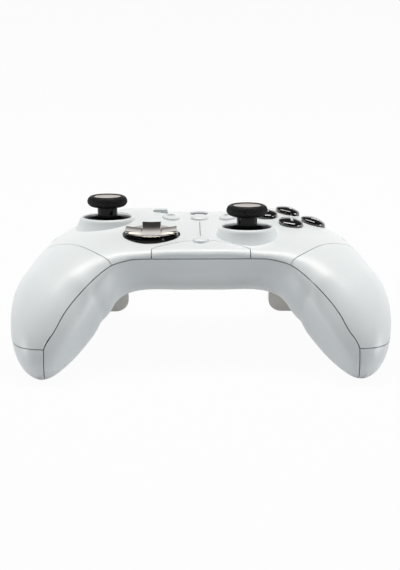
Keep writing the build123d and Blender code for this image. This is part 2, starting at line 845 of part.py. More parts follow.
with BuildPart() as button_board:
    with BuildSketch(Plane.XY.offset(pad_board_top - pad_board_thickness)):
        with Locations((cluster_x, cluster_y)):
            Circle(pad_board_radius)
        with Locations((pad_board_side_x, cluster_y)):
            Rectangle(reach_over, reach_over, align=(Align.MIN, Align.CENTER), mode=Mode.SUBTRACT)
        with Locations(switch_notch):
            Rectangle(reach_over, reach_over, align=(Align.MIN, Align.MIN), mode=Mode.SUBTRACT)
    extrude(amount=pad_board_thickness)
    with BuildSketch(Plane.XY.offset(board_top)):
        with Locations((pad_board_post_x, pad_board_post_y)):
            Circle(pad_board_post_radius)
    extrude(amount=pad_board_top - pad_board_thickness - board_top)

with BuildPart() as button_pads:
    with BuildSketch(Plane.XY.offset(pad_board_top)):
        with Locations((cluster_x, cluster_y)):
            Circle(pad_board_radius - pad_sheet)
        with Locations((pad_board_side_x - pad_sheet, cluster_y)):
            Rectangle(reach_over, reach_over, align=(Align.MIN, Align.CENTER), mode=Mode.SUBTRACT)
        with Locations((switch_notch[0] - pad_sheet, switch_notch[1] - pad_sheet)):
            Rectangle(reach_over, reach_over, align=(Align.MIN, Align.MIN), mode=Mode.SUBTRACT)
    extrude(amount=pad_sheet)
    with BuildSketch(Plane.XY.offset(pad_board_top)):
        with Locations(button_places):
            Circle(chimney_radius)
    extrude(amount=chimney_height)
    with BuildSketch(Plane.XY.offset(pad_board_top)):
        with Locations(button_places):
            Circle(chimney_inner)
    extrude(amount=chimney_height - pad_sheet, mode=Mode.SUBTRACT)


# Small buttons with long posts down to switches on the main board
switch_top = board_top + switch_height + switch_plunger_height
post_bottom = switch_top + switch_gap
small_places = {
    "view_button": (-side_button_x, row_y, small_button_radius, small_button_proud, small_button_dome),
    "menu_button": (side_button_x, row_y, small_button_radius, small_button_proud, small_button_dome),
    "share_button": (0, row_y, small_button_radius, small_button_proud, small_button_dome),
    "profile_button": (0, lower_button_y, lower_button_radius, small_button_proud, small_button_dome),
    "home_button": (0, home_y, home_radius, home_proud, home_dome),
}


def small_button(x, y, radius, proud, dome):
    head, point = surface_head(x, y, radius, proud, dome, small_button_edge, button_head_depth)
    under = point.Z - button_head_depth
    with BuildPart() as piece:
        add(head)
        with BuildSketch(Plane.XY.offset(under - flange_height)):
            with Locations((x, y)):
                Circle(radius + flange_extra)
        extrude(amount=flange_height)
        with BuildSketch(Plane.XY.offset(post_bottom)):
            with Locations((x, y)):
                Circle(button_post_radius)
        extrude(amount=under - post_bottom)
    return piece


small_buttons = {name: small_button(*place) for name, place in small_places.items()}
mode_point = face_point(mode_x, mode_y)[0]
mode_under = mode_point.Z - button_head_depth

with BuildPart() as mode_button:
    with BuildSketch(Plane.XY.offset(mode_under)):
        with Locations((mode_x, mode_y)):
            Rectangle(2 * mode_half_x, 2 * mode_half_y)
    extrude(amount=button_head_depth + mode_proud)
    fillet(mode_button.edges().group_by(Axis.Z)[-1], small_button_edge)
    with BuildSketch(Plane.XY.offset(mode_under - flange_height)):
        with Locations((mode_x, mode_y)):
            Rectangle(2 * mode_half_x + flange_extra, 2 * (mode_half_y + flange_extra))
    extrude(amount=flange_height)
    with BuildSketch(Plane.XY.offset(post_bottom)):
        with Locations((mode_x, mode_y)):
            Circle(button_post_radius)
    extrude(amount=mode_under - post_bottom)

switch_places = [place[:2] for place in small_places.values()] + [(mode_x, mode_y)]

with BuildPart() as board_switches:
    with BuildSketch(Plane.XY.offset(board_top)):
        with Locations(switch_places):
            Rectangle(2 * switch_half, 2 * switch_half)
    extrude(amount=switch_height)
    with BuildSketch(Plane.XY.offset(board_top + switch_height)):
        with Locations(switch_places):
            Circle(switch_plunger_radius)
    extrude(amount=switch_plunger_height)


# Main board with its parts
board_half = [(board_tongue_x, board_back_y), (board_shoulder_x, board_shoulder_y),
              (board_step_x, board_step_y), (board_step_x, board_wing_y), (board_wing_x, board_wing_y),
              (board_wing_x, board_wing_front_y), (board_waist_x, board_waist_y),
              (board_front_x, board_front_y), (board_corner_x, board_front_y)]
screw_places = [(screw_front_x, screw_front_y), (-screw_front_x, screw_front_y),
                (screw_back_x, screw_back_y), (-screw_back_x, screw_back_y)]

with BuildPart() as main_board:
    with BuildSketch(Plane.XY.offset(board_top - board_thickness)):
        Polygon(*reversed(board_half), *[(-x, y) for x, y in board_half], align=None)
        with Locations(screw_places):
            Circle(screw_radius + button_gap, mode=Mode.SUBTRACT)
    extrude(amount=board_thickness)

with BuildPart() as board_chips:
    with BuildSketch(Plane.XY.offset(board_top)):
        with Locations((0, chip_y)):
            Rectangle(chip_side, chip_side)
        with Locations((-chip_side, -chip_y / 2), (chip_side, chip_y), (small_chip_x, small_chip_y)):
            Rectangle(small_chip_side, small_chip_side)
    extrude(amount=chip_height)


# Triggers, drawn around the hinge: Y share of the reach, Z share of the drop
def trigger_point(share):
    return (hinge_y + share[0] * trigger_reach, hinge_z - share[1] * trigger_drop)


trigger_start = Plane.YZ.offset(trigger_inner_x)
trigger_back = [trigger_point(share) for share in trigger_back_shares]
trigger_tip = [trigger_point(share) for share in trigger_tip_shares]
trigger_front = [trigger_point(share) for share in trigger_front_shares]
trigger_skin = trigger_skin_share * trigger_reach
trigger_outer_x = trigger_inner_x + trigger_width
trigger_low = trigger_tip[-1][1]
hollow_top = trigger_back[0][1] - trigger_top_wall
hollow_end = hinge_z - trigger_hollow_end_share * trigger_drop
hollow_back = [(y - trigger_skin, z) for y, z in trigger_back if z > hollow_end]

with BuildPart() as right_trigger:
    with BuildSketch(trigger_start):
        with BuildLine():
            outer_edge = Spline(*trigger_back)
            Polyline(outer_edge @ 1, *trigger_tip, *trigger_front, (hinge_y, hinge_z),
                     (hinge_y, trigger_back[0][1]), outer_edge @ 0)
        make_face()
    extrude(amount=trigger_width)
    with BuildSketch(trigger_start.offset(trigger_cheek)):
        with BuildLine():
            Polyline((hollow_back[0][0], hollow_top), *hollow_back[1:],
                     (hollow_back[-1][0], hollow_end), (-reach_over, hollow_end),
                     (-reach_over, hollow_top), (hollow_back[0][0], hollow_top))
        make_face()
    extrude(amount=trigger_width - 2 * trigger_cheek, mode=Mode.SUBTRACT)
    with Locations((trigger_inner_x, hinge_y, hinge_z)):
        Cylinder(trigger_boss, trigger_width, rotation=(0, 90, 0),
                 align=(Align.CENTER, Align.CENTER, Align.MIN))
    with Locations((trigger_inner_x + trigger_width / 2, hinge_y, hinge_z)):
        Cylinder(trigger_boss + trigger_gap, spring_length + trigger_gap, rotation=(0, 90, 0),
                 mode=Mode.SUBTRACT)
        Cylinder(pin_radius + running_fit, reach_over, rotation=(0, 90, 0), mode=Mode.SUBTRACT)
    with BuildSketch(Plane.XZ.offset(-reach_over)):
        with BuildLine():
            Polyline((trigger_inner_x, reach_over), (trigger_outer_x, reach_over),
                     (trigger_outer_x, trigger_low), (trigger_inner_x, trigger_low),
                     (trigger_inner_x, reach_over))
        face = make_face()
        fillet(face.vertices().group_by(Axis.Y)[0], trigger_corner)
    extrude(amount=2 * reach_over, mode=Mode.INTERSECT)

bracket_inner = trigger_inner_x - trigger_gap - bracket_thickness
bracket_outer = trigger_inner_x + trigger_width + trigger_gap
bracket_span = bracket_outer + bracket_thickness - bracket_inner
roof_top = pad_board_top - pad_board_thickness

with BuildPart() as right_trigger_bracket:
    for start in (bracket_inner, bracket_outer):
        with BuildSketch(Plane.YZ.offset(start)):
            with BuildLine():
                Polyline((bracket_foot_front_y, board_top), (bracket_foot_back_y, board_top),
                         (hinge_y, hinge_z - bracket_boss), (bracket_roof_back_y, hinge_z),
                         (bracket_roof_back_y, roof_top), (bracket_roof_front_y, roof_top),
                         (bracket_foot_front_y, board_top + bracket_foot_height),
                         (bracket_foot_front_y, board_top))
            make_face()
            with Locations((hinge_y, hinge_z)):
                Circle(bracket_boss)
        extrude(amount=bracket_thickness)
    with BuildSketch(Plane.YZ.offset(bracket_inner)):
        with Locations((bracket_roof_front_y, roof_top)):
            Rectangle(bracket_roof_back_y - bracket_roof_front_y, pad_board_thickness,
                      align=(Align.MIN, Align.MAX))
    extrude(amount=bracket_span)
    with Locations((bracket_inner, hinge_y, hinge_z)):
        Cylinder(pin_radius + screw_fit, 2 * reach_over, rotation=(0, 90, 0), mode=Mode.SUBTRACT)

with BuildPart() as right_trigger_pin:
    with BuildSketch(Plane.YZ.offset(bracket_inner)):
        with Locations((hinge_y, hinge_z)):
            Circle(pin_radius)
    extrude(amount=bracket_span)

with BuildPart() as right_trigger_spring:
    with BuildSketch(Plane.YZ.offset(trigger_inner_x + (trigger_width - spring_length) / 2)):
        with Locations((hinge_y, hinge_z)):
            Circle(spring_radius)
            Circle(pin_radius + screw_fit, mode=Mode.SUBTRACT)
    extrude(amount=spring_length)


# Bumper with its hinge arm and the rib that presses the switch
with BuildPart() as right_bumper:
    add(outer_body.part)
    add(inner_body.part, mode=Mode.SUBTRACT)
    add(bumper_region(1, 0), mode=Mode.INTERSECT)
    with BuildSketch(Plane.XY.offset(bumper_boss_top - bumper_boss_height)):
        with Locations((bumper_hinge_x, bumper_hinge_y)):
            Circle(bumper_boss_radius)
            Rectangle(2 * bumper_arm_half, bumper_arm_end_y - bumper_hinge_y,
                      align=(Align.CENTER, Align.MIN))
    extrude(amount=bumper_boss_height)
    with BuildSketch(Plane.XY.offset(bumper_boss_top)):
        with Locations((bumper_hinge_x, bumper_hinge_y)):
            Circle(bumper_post_radius + running_fit)
    extrude(amount=-bumper_boss_height, mode=Mode.SUBTRACT)

bumper_wall = outer_body.part.find_intersection_points(
    Axis((bumper_rib_x, reach_over, bumper_rib_bottom + bumper_rib_height / 2), (0, -1, 0)))
bumper_wall_y = max(hit[0].Y for hit in bumper_wall) - wall / 2

with BuildPart() as bumper_rib:
    with BuildSketch(Plane.XY.offset(bumper_rib_bottom)):
        with Locations((bumper_rib_x, bumper_rib_front_y)):
            Rectangle(2 * bumper_rib_half, bumper_wall_y - bumper_rib_front_y,
                      align=(Align.CENTER, Align.MIN))
    extrude(amount=bumper_rib_height)

with right_bumper:
    add(bumper_rib.part)

with BuildPart() as right_bumper_switch:
    with BuildSketch(Plane.XY.offset(roof_top)):
        with Locations((bumper_rib_x, bracket_roof_back_y)):
            Rectangle(2 * bumper_switch_half, bumper_switch_depth, align=(Align.CENTER, Align.MAX))
    extrude(amount=bumper_switch_height)
    with Locations((bumper_rib_x, bracket_roof_back_y, roof_top + bumper_switch_height / 2)):
        Cylinder(bumper_switch_plunger, bumper_switch_plunger_length, rotation=(-90, 0, 0),
                 align=(Align.CENTER, Align.CENTER, Align.MIN))


# Rumble motors with off-centre weights
motor_front = motor_y - motor_length / 2

with BuildPart() as right_motor:
    with Locations((motor_x, motor_y, motor_z)):
        Cylinder(motor_radius, motor_length, rotation=(90, 0, 0))
        Cylinder(motor_shaft_radius + running_fit, 2 * motor_length, rotation=(90, 0, 0),
                 mode=Mode.SUBTRACT)

with BuildPart() as right_motor_weight:
    with BuildSketch(Plane(origin=(motor_x, motor_front - weight_gap, motor_z), x_dir=(1, 0, 0),
                           z_dir=(0, -1, 0))):
        Circle(weight_radius)
        Rectangle(2 * weight_radius, weight_radius, align=(Align.CENTER, Align.MIN),
                  mode=Mode.SUBTRACT)
        Circle(weight_hub_radius)
    extrude(amount=weight_thickness)
    with Locations((motor_x, motor_front - weight_gap, motor_z)):
        Cylinder(motor_shaft_radius, motor_length, rotation=(-90, 0, 0),
                 align=(Align.CENTER, Align.CENTER, Align.MIN))


# Charging socket
with BuildPart() as charging_socket:
    with BuildSketch(Plane.XZ.offset(-socket_back_y)):
        with Locations((0, board_top + socket_height / 2)):
            SlotOverall(2 * socket_half_x, socket_height)
    extrude(amount=socket_back_y - socket_front_y)
    with BuildSketch(Plane.XZ.offset(-socket_back_y)):
        with Locations((0, board_top + socket_height / 2)):
            SlotOverall(2 * (socket_half_x - socket_wall), socket_height - 2 * socket_wall)
            Rectangle(2 * socket_tongue_half_x, 2 * socket_tongue, mode=Mode.SUBTRACT)
    extrude(amount=socket_depth, mode=Mode.SUBTRACT)


# Battery, its door with ribs, and the screws
battery_top = board_top - board_thickness - battery_gap

with BuildPart() as battery_pack:
    with BuildSketch(Plane.XY.offset(battery_top - battery_height)):
        with Locations((0, battery_front_y)):
            Rectangle(2 * battery_half_x, battery_back_y - battery_front_y,
                      align=(Align.CENTER, Align.MIN))
    extrude(amount=battery_height)
    fillet(battery_pack.edges().filter_by(Axis.Z), battery_edge)


def door_region(grow):
    with BuildPart() as region:
        with BuildSketch(Plane.XY.offset(board_top)):
            with Locations((0, door_front_y - grow)):
                Rectangle(2 * (door_half_x + grow), door_back_y - door_front_y + 2 * grow,
                          align=(Align.CENTER, Align.MIN))
        extrude(amount=-reach_over)
    return region.part


def inside_ribs(places, size_x, size_y, top):
    """Plates that stand on the floor of the body, up to the given height."""
    with BuildPart() as ribs:
        with BuildSketch(Plane.XY.offset(top)):
            with Locations(places):
                Rectangle(size_x, size_y)
        extrude(amount=-reach_over)
        add(bite_body.part, mode=Mode.INTERSECT)
    return ribs.part


door_ribs = inside_ribs([(-rib_pitch, (battery_front_y + battery_back_y) / 2),
                         (rib_pitch, (battery_front_y + battery_back_y) / 2)],
                        rib_thickness, battery_back_y - battery_front_y - 2 * battery_edge,
                        battery_top - battery_height)

with BuildPart() as battery_door:
    add(rear_shell.part)
    add(door_region(-seam / 2), mode=Mode.INTERSECT)
    add(door_ribs)

screw_seat = board_top - board_thickness - screw_seat_depth

with BuildPart() as case_screws:
    with BuildSketch(Plane.XY.offset(screw_seat)):
        with Locations(screw_places):
            Circle(screw_radius)
    extrude(amount=screw_length)
    with BuildSketch(Plane.XY.offset(screw_seat)):
        with Locations(screw_places):
            Circle(screw_head_radius)
    extrude(amount=-screw_head_height)
    with BuildSketch(Plane.XY.offset(screw_seat - screw_head_height)):
        with Locations(screw_places):
            RegularPolygon(recess_radius, 6)
    extrude(amount=recess_depth, mode=Mode.SUBTRACT)


# Face shell: collars, cup of the direction pad, screw bosses, bumper posts and button holes
round_holes = [(x, y, face_button_radius) for x, y in button_places]
round_holes = round_holes + [place[:3] for place in small_places.values()]
cup_bottom = pad_ring_top - pad_ring_height - cup_floor


def cut_button_holes(places):
    with BuildPart() as cutter:
        with BuildSketch(Plane.XY.offset(board_top)):
            for x, y, radius in places:
                with Locations((x, y)):
                    Circle(radius + button_gap)
            with Locations((mode_x, mode_y)):
                Rectangle(2 * (mode_half_x + button_gap), 2 * (mode_half_y + button_gap))
        extrude(amount=reach_over)
    return cutter.part


with BuildPart() as face_fittings:
    with BuildSketch(Plane.XY.offset(cup_bottom)):
        with Locations((pad_x, pad_y)):
            Circle(pad_ring_radius + pad_ring_gap + cup_wall)
    extrude(amount=reach_over)
    with BuildSketch(Plane.XY.offset(board_top)):
        with Locations(screw_places):
            Circle(face_boss_radius)
    extrude(amount=reach_over)
    with BuildSketch(Plane.XY.offset(bumper_post_bottom)):
        with Locations((bumper_hinge_x, bumper_hinge_y), (-bumper_hinge_x, bumper_hinge_y)):
            Circle(bumper_post_radius)
    extrude(amount=reach_over)
    add(bite_body.part, mode=Mode.INTERSECT)

with front_shell:
    add(face_fittings.part)
    with BuildSketch(Plane.XY.offset(pad_ring_top - pad_ring_height)):
        with Locations((pad_x, pad_y)):
            Circle(pad_ring_radius + pad_ring_gap)
    extrude(amount=reach_over, mode=Mode.SUBTRACT)
    with BuildSketch(Plane.XY.offset(cup_bottom)):
        with Locations((pad_x, pad_y)):
            Circle(pad_ring_radius - cup_ledge)
    extrude(amount=reach_over, mode=Mode.SUBTRACT)
    with BuildSketch(Plane.XY.offset(board_top)):
        with Locations(screw_places):
            Circle(screw_radius + screw_fit)
    extrude(amount=screw_length - board_thickness - screw_seat_depth + recess_depth,
            mode=Mode.SUBTRACT)
    add(cut_button_holes(round_holes), mode=Mode.SUBTRACT)

with top_bridge:
    add(cut_button_holes(round_holes), mode=Mode.SUBTRACT)

with chin_panel:
    add(cut_button_holes(round_holes), mode=Mode.SUBTRACT)


# Lower shell: screw bosses, motor ribs, battery door opening and socket window
motor_rib_y = motor_length / 2 - motor_rib_inset
motor_rib_places = [(side * motor_x, motor_y + end * motor_rib_y) for side in (1, -1) for end in (1, -1)]
motor_ribs = inside_ribs(motor_rib_places, 4 * motor_radius, motor_rib_thickness, motor_z)
screw_bosses = inside_ribs(screw_places, 2 * boss_radius, 2 * boss_radius, board_top - board_thickness)

with BuildPart() as boss_rounds:
    with BuildSketch(Plane.XY.offset(-reach_over)):
        with Locations(screw_places):
            Circle(boss_radius)
    extrude(amount=reach_over + board_top - board_thickness)
    add(screw_bosses, mode=Mode.INTERSECT)

with BuildPart() as rib_plates:
    add(motor_ribs)
    add(below_parting(-seam / 2), mode=Mode.INTERSECT)
    with Locations((motor_x, motor_y, motor_z), (-motor_x, motor_y, motor_z)):
        Cylinder(motor_radius + motor_rib_gap, 4 * motor_length, rotation=(90, 0, 0),
                 mode=Mode.SUBTRACT)

with rear_shell:
    add(door_region(seam / 2), mode=Mode.SUBTRACT)
    add(boss_rounds.part)
    add(rib_plates.part)
    with BuildSketch(Plane.XY.offset(screw_seat)):
        with Locations(screw_places):
            Circle(head_well_radius)
    extrude(amount=-reach_over, mode=Mode.SUBTRACT)
    with BuildSketch(Plane.XY.offset(screw_seat)):
        with Locations(screw_places):
            Circle(screw_radius + screw_fit)
    extrude(amount=reach_over, mode=Mode.SUBTRACT)
    with BuildSketch(Plane.XZ.offset(-socket_front_y)):
        with Locations((0, board_top + socket_height / 2)):
            SlotOverall(2 * (socket_half_x + socket_clearance),
                        socket_height + 2 * socket_clearance)
    extrude(amount=-reach_over, mode=Mode.SUBTRACT)


# Left-hand pieces are the right-hand ones mirrored
def mirrored_piece(original):
    with BuildPart() as piece:
        mirror(original.part, about=Plane.YZ)
    return piece


pairs = {
    "side_rail": right_side_rail,
    "grip_cover": right_grip_cover,
    "bumper": right_bumper,
    "bumper_switch": right_bumper_switch,
    "trigger": right_trigger,
    "trigger_bracket": right_trigger_bracket,
    "trigger_pin": right_trigger_pin,
    "trigger_spring": right_trigger_spring,
    "motor": right_motor,
    "motor_weight": right_motor_weight,
}
pieces = {
    "front_shell": front_shell,
    "rear_shell": rear_shell,
    "chin_panel": chin_panel,
    "top_bridge": top_bridge,
    "dpad_base_ring": dpad_base_ring,
    "dpad_dish": dpad_dish,
    "dpad_carrier": dpad_carrier,
    "dpad_pivot": dpad_pivot,
    "mode_button": mode_button,
    "button_board": button_board,
    "button_pads": button_pads,
    "board_switches": board_switches,
    "main_board": main_board,
    "board_chips": board_chips,
    "charging_socket": charging_socket,
    "battery_pack": battery_pack,
    "battery_door": battery_door,
    "case_screws": case_screws,
}
pieces.update(sticks)
pieces.update(small_buttons)
pieces.update({"face_button_" + str(i + 1): piece for i, piece in enumerate(face_buttons)})
for name, piece in pairs.items():
    pieces["right_" + name] = piece
    pieces["left_" + name] = mirrored_piece(piece)


# Seat: the controller rests on its two grip tips and its two trigger tips
def lowest(piece, angle):
    return (Rot(angle, 0, 0) * piece.part).bounding_box().min.Z


low_angle, high_angle = -seat_limit, 0.0
for step in range(seat_steps):
    seat_angle = (low_angle + high_angle) / 2
    if lowest(right_trigger, seat_angle) < lowest(outer_body, seat_angle):
        low_angle = seat_angle
    else:
        high_angle = seat_angle

boxes = [(Rot(seat_angle, 0, 0) * piece.part).bounding_box() for piece in pieces.values()]
middle_y = (min(box.min.Y for box in boxes) + max(box.max.Y for box in boxes)) / 2
seat_lift = -min(box.min.Z for box in boxes)
seat = Pos(0, -middle_y, seat_lift) * Rot(seat_angle, 0, 0)
print("seat angle", round(seat_angle, 4), "shift", round(-middle_y, 4), "lift", round(seat_lift, 4))

os.makedirs("parts", exist_ok=True)
for name, piece in pieces.items():
    piece.part = seat * piece.part
    piece.part.label = name
    export_step(piece.part, "parts/" + name + ".step")
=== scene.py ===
import math

import bmesh
import bpy
import numpy as np
from mathutils import Matrix, Vector


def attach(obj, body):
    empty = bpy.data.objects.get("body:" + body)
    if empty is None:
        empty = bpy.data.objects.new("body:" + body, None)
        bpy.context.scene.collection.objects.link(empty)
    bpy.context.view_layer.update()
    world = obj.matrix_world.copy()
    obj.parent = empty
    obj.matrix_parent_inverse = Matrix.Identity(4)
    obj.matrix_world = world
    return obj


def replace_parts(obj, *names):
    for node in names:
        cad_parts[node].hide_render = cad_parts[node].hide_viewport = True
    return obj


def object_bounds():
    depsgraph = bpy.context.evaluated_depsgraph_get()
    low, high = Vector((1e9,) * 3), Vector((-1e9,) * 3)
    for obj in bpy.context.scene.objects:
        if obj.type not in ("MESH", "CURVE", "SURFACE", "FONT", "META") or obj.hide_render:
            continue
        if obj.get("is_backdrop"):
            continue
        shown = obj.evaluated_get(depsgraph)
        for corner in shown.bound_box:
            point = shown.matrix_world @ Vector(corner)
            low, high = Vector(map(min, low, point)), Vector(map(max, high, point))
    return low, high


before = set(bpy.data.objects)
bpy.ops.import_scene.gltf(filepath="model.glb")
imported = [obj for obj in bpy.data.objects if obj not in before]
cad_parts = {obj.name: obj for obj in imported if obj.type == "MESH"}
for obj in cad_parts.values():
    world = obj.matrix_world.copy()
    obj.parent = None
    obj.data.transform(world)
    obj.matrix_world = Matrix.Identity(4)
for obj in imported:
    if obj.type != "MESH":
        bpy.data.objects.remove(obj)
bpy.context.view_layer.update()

# Deck frame of part.py: X right, Y away from the player, Z out of the face, in millimetres.
# The seat leans it back and sets it on the table.
SEAT_TURN = math.radians(-4.5305)
SEAT_SHIFT = 5.8603
SEAT_LIFT = 52.5707
MM = 0.001
PER_METRE = 1000


def on_table(points):
    """Deck points in mm to table points in metres: turned about X by the seat angle, then lifted."""
    points = np.asarray(points, dtype=float)
    x, y, z = points[..., 0], points[..., 1], points[..., 2]
    back = y * math.cos(SEAT_TURN) - z * math.sin(SEAT_TURN) + SEAT_SHIFT
    up = y * math.sin(SEAT_TURN) + z * math.cos(SEAT_TURN) + SEAT_LIFT
    return np.stack([x, back, up], axis=-1) * MM


def deck_grid(x, y, z):
    """Table points of deck coordinates that broadcast against one another."""
    return on_table(np.stack(np.broadcast_arrays(x, y, z), axis=-1))


# ---- camera: the player's view, low and a little from the left
VIEW_DISTANCE = 594.6
VIEW_HEIGHT = 99.0
VIEW_YAW = math.radians(-0.9)
VIEW_PITCH = math.radians(12.0)
LENS = 89.8
SENSOR = 36.0


def set_camera():
    """Camera whose axes are the view direction, its right and its up, turned with the deck."""
    turn = Matrix.Rotation(SEAT_TURN, 3, "X")
    ahead = Vector((-math.sin(VIEW_YAW) * math.cos(VIEW_PITCH),
                    math.cos(VIEW_YAW) * math.cos(VIEW_PITCH), -math.sin(VIEW_PITCH)))
    right = Vector((math.cos(VIEW_YAW), math.sin(VIEW_YAW), 0.0))
    up = right.cross(ahead)
    place = on_table([VIEW_DISTANCE * math.sin(VIEW_YAW), -VIEW_DISTANCE * math.cos(VIEW_YAW), VIEW_HEIGHT])
    axes = Matrix((turn @ right, turn @ up, -(turn @ ahead))).transposed().to_4x4()
    data = bpy.data.cameras.new("player_view")
    data.sensor_fit = "VERTICAL"
    data.sensor_height = SENSOR
    data.lens = LENS
    data.clip_start = 0.05
    data.clip_end = 20.0
    camera = bpy.data.objects.new("player_view", data)
    camera.matrix_world = Matrix.Translation(Vector(place)) @ axes
    bpy.context.scene.collection.objects.link(camera)
    bpy.context.scene.camera = camera


set_camera()
bpy.context.scene.view_settings.view_transform = "Standard"


# ---- materials: one function adds a node, the rest says what each surface is
def linear(hex_colour):
    """sRGB hex to linear RGBA."""
    parts = [int(hex_colour[i:i + 2], 16) / 255 for i in (0, 2, 4)]
    parts = [c / 12.92 if c <= 0.04045 else ((c + 0.055) / 1.055) ** 2.4 for c in parts]
    return (*parts, 1.0)


def add(tree, kind, links=None, **settings):
    """Add one node. settings name sockets (underscores for spaces) or node properties. links feed sockets,
    which are named, or counted where two have one name."""
    node = tree.nodes.new(kind)
    for name, value in settings.items():
        socket = node.inputs.get(name.replace("_", " "))
        if socket is not None and not hasattr(node, name):
            socket.default_value = value
        else:
            setattr(node, name, value)
    for name, source in (links or {}).items():
        tree.links.new(source, node.inputs[name])
    return node


def empty_tree(owner):
    """Node tree of a material or of the world, with nothing in it."""
    owner.use_nodes = True
    owner.node_tree.nodes.clear()
    return owner.node_tree


def noise(tree, place, scale, detail=3.0, roughness=0.5):
    """Cloud of values from 0 to 1, scale features to the metre."""
    return add(tree, "ShaderNodeTexNoise", {"Vector": place},
               Scale=scale, Detail=detail, Roughness=roughness).outputs["Fac"]


def two_tones(tree, share, colours):
    """Mix of two sRGB hex colours by share. Of the node's many sockets, 6, 7 and output 2 are the colours'."""
    tone = add(tree, "ShaderNodeMix", {"Factor": share}, data_type="RGBA")
    tone.inputs[6].default_value = linear(colours[0])
    tone.inputs[7].default_value = linear(colours[1])
    return tone.outputs[2]


def relief(tree, height, strength, depth_mm):
    """Normal of a bump that is depth_mm deep."""
    return add(tree, "ShaderNodeBump", {"Height": height},
               Strength=strength, Distance=depth_mm * MM).outputs[0]


def shaded(tree, links, **settings):
    """Principled shader on the material's output."""
    shader = add(tree, "ShaderNodeBsdfPrincipled", links, **settings)
    add(tree, "ShaderNodeOutputMaterial", {"Surface": shader.outputs[0]})


def moulded(name, colours, roughness, grain_mm, grain_depth, patch_mm=22.0, ior=1.5, coat=0.0, specular=0.5):
    """Injection-moulded plastic: a faint mottle of two close tones, and a fine spark-eroded grain."""
    material = bpy.data.materials.new(name)
    tree = empty_tree(material)
    place = add(tree, "ShaderNodeTexCoord").outputs["Object"]
    mottle = noise(tree, place, PER_METRE / patch_mm)
    grain = noise(tree, place, PER_METRE / grain_mm, detail=2.0, roughness=0.6)
    sheen = add(tree, "ShaderNodeMapRange", {"Value": mottle},
                To_Min=roughness * 0.88, To_Max=roughness * 1.12)
    shaded(tree, {"Base Color": two_tones(tree, mottle, colours), "Roughness": sheen.outputs[0],
                  "Normal": relief(tree, grain, 0.5, grain_depth)},
           IOR=ior, Coat_Weight=coat, Coat_Roughness=0.05, Specular_IOR_Level=specular)
    return material


def plated(name, colours, roughness):
    """Plated metal: mirror-like, with a faint mottle in tone."""
    material = bpy.data.materials.new(name)
    tree = empty_tree(material)
    place = add(tree, "ShaderNodeTexCoord").outputs["Object"]
    cloud = noise(tree, place, 220.0)
    shaded(tree, {"Base Color": two_tones(tree, cloud, colours), "Normal": relief(tree, cloud, 0.2, 0.01)},
           Metallic=1.0, Roughness=roughness)
    return material


WAVE_RADIANS = 20  # what Blender's rings run through in one unit at scale 1


def turned_metal(name, colours, roughness, centre, radian_mm, ring_depth):
    """Metal disc with turning marks: rings about the deck normal through centre, one radian of the wave
    to each radian_mm."""
    material = bpy.data.materials.new(name)
    tree = empty_tree(material)
    place = add(tree, "ShaderNodeTexCoord").outputs["Object"]
    turned = add(tree, "ShaderNodeMapping", {"Vector": place}, vector_type="TEXTURE",
                 Location=tuple(on_table(centre)), Rotation=(SEAT_TURN, 0.0, 0.0))
    rings = add(tree, "ShaderNodeTexWave", {"Vector": turned.outputs[0]}, wave_type="RINGS",
                rings_direction="Z", Scale=PER_METRE / radian_mm / WAVE_RADIANS, Distortion=0.4, Detail=2.0)
    cloud = noise(tree, place, 300.0)
    shaded(tree, {"Base Color": two_tones(tree, cloud, colours),
                  "Normal": relief(tree, rings.outputs["Fac"], 0.4, ring_depth)},
           Metallic=1.0, Roughness=roughness)
    return material


# Satin ABS: cool white, grain of about 0.15 mm drawn at 0.4 mm so that it shows
shell_white = moulded("satin_abs_cool_white", ("E3E8EA", "DDE3E6"), 0.36, 0.4, 0.012)
# Gloss ABS of the bumpers: polished mould, clear highlights
bumper_white = moulded("gloss_abs_white", ("DEE2E4", "D9DEE1"), 0.14, 1.6, 0.004)
# Small buttons: smooth ABS, a little glossier than the shell
button_white = moulded("smooth_abs_white", ("E2E6E8", "DCE1E4"), 0.24, 0.9, 0.006)
# Triggers: warm white ABS
trigger_white = moulded("satin_abs_warm_white", ("EFECE6", "E9E6E0"), 0.3, 0.45, 0.012)
# Mode button: pale grey-blue painted over the whole white button, the shade that its front face shows
mode_button_painted_shade = moulded("satin_abs_white_painted_grey_blue_shade", ("D6DDDF", "CFD7DA"), 0.3, 0.4, 0.01)
# Gloss black polycarbonate of the stems, the stick mouths and the pad's ring and skirt: deep black with
# sharp highlights
gloss_black = moulded("gloss_black_polycarbonate", ("060607", "09090B"), 0.07, 2.0, 0.002,
                      ior=1.46, specular=0.22)
# Clear-coated domes of the face buttons: black under a thick clear layer
clear_black = moulded("clear_coated_black_dome", ("060607", "0A0A0C"), 0.08, 2.0, 0.002, ior=1.6, coat=1.0)
# Moulded black nylon of the inner parts
inner_black = moulded("moulded_black_nylon", ("1E1E20", "26262A"), 0.5, 0.5, 0.02)
# Silicone chimneys under the face buttons
silicone = moulded("grey_silicone", ("5E6264", "686C6E"), 0.6, 0.6, 0.01, ior=1.41)
# Solder mask of the boards: green lacquer
solder_mask = moulded("green_solder_mask", ("0E3B24", "134A2E"), 0.28, 1.2, 0.008)
# Epoxy of the chips, and the shrink wrap round the battery's cell
chip_case = moulded("epoxy_chip_case", ("17171A", "1E1E21"), 0.55, 0.3, 0.01)
cell_wrap = moulded("dark_heat_shrink_wrap", ("2A3038", "333A44"), 0.25, 3.0, 0.03)
# Matte black thermoplastic rubber of the thumb caps: small patches, grain of 0.3 mm
rubber = moulded("matte_black_rubber", ("0A0A0B", "121214"), 0.5, 0.3, 0.02, 5.0, ior=1.4, specular=0.3)

# Centres of the thumb sticks on the deck, and the height that each cap is measured from
STICKS = {"left": (-39.8, 14.5, 0.0), "right": (19.6, -6.6, -0.8)}
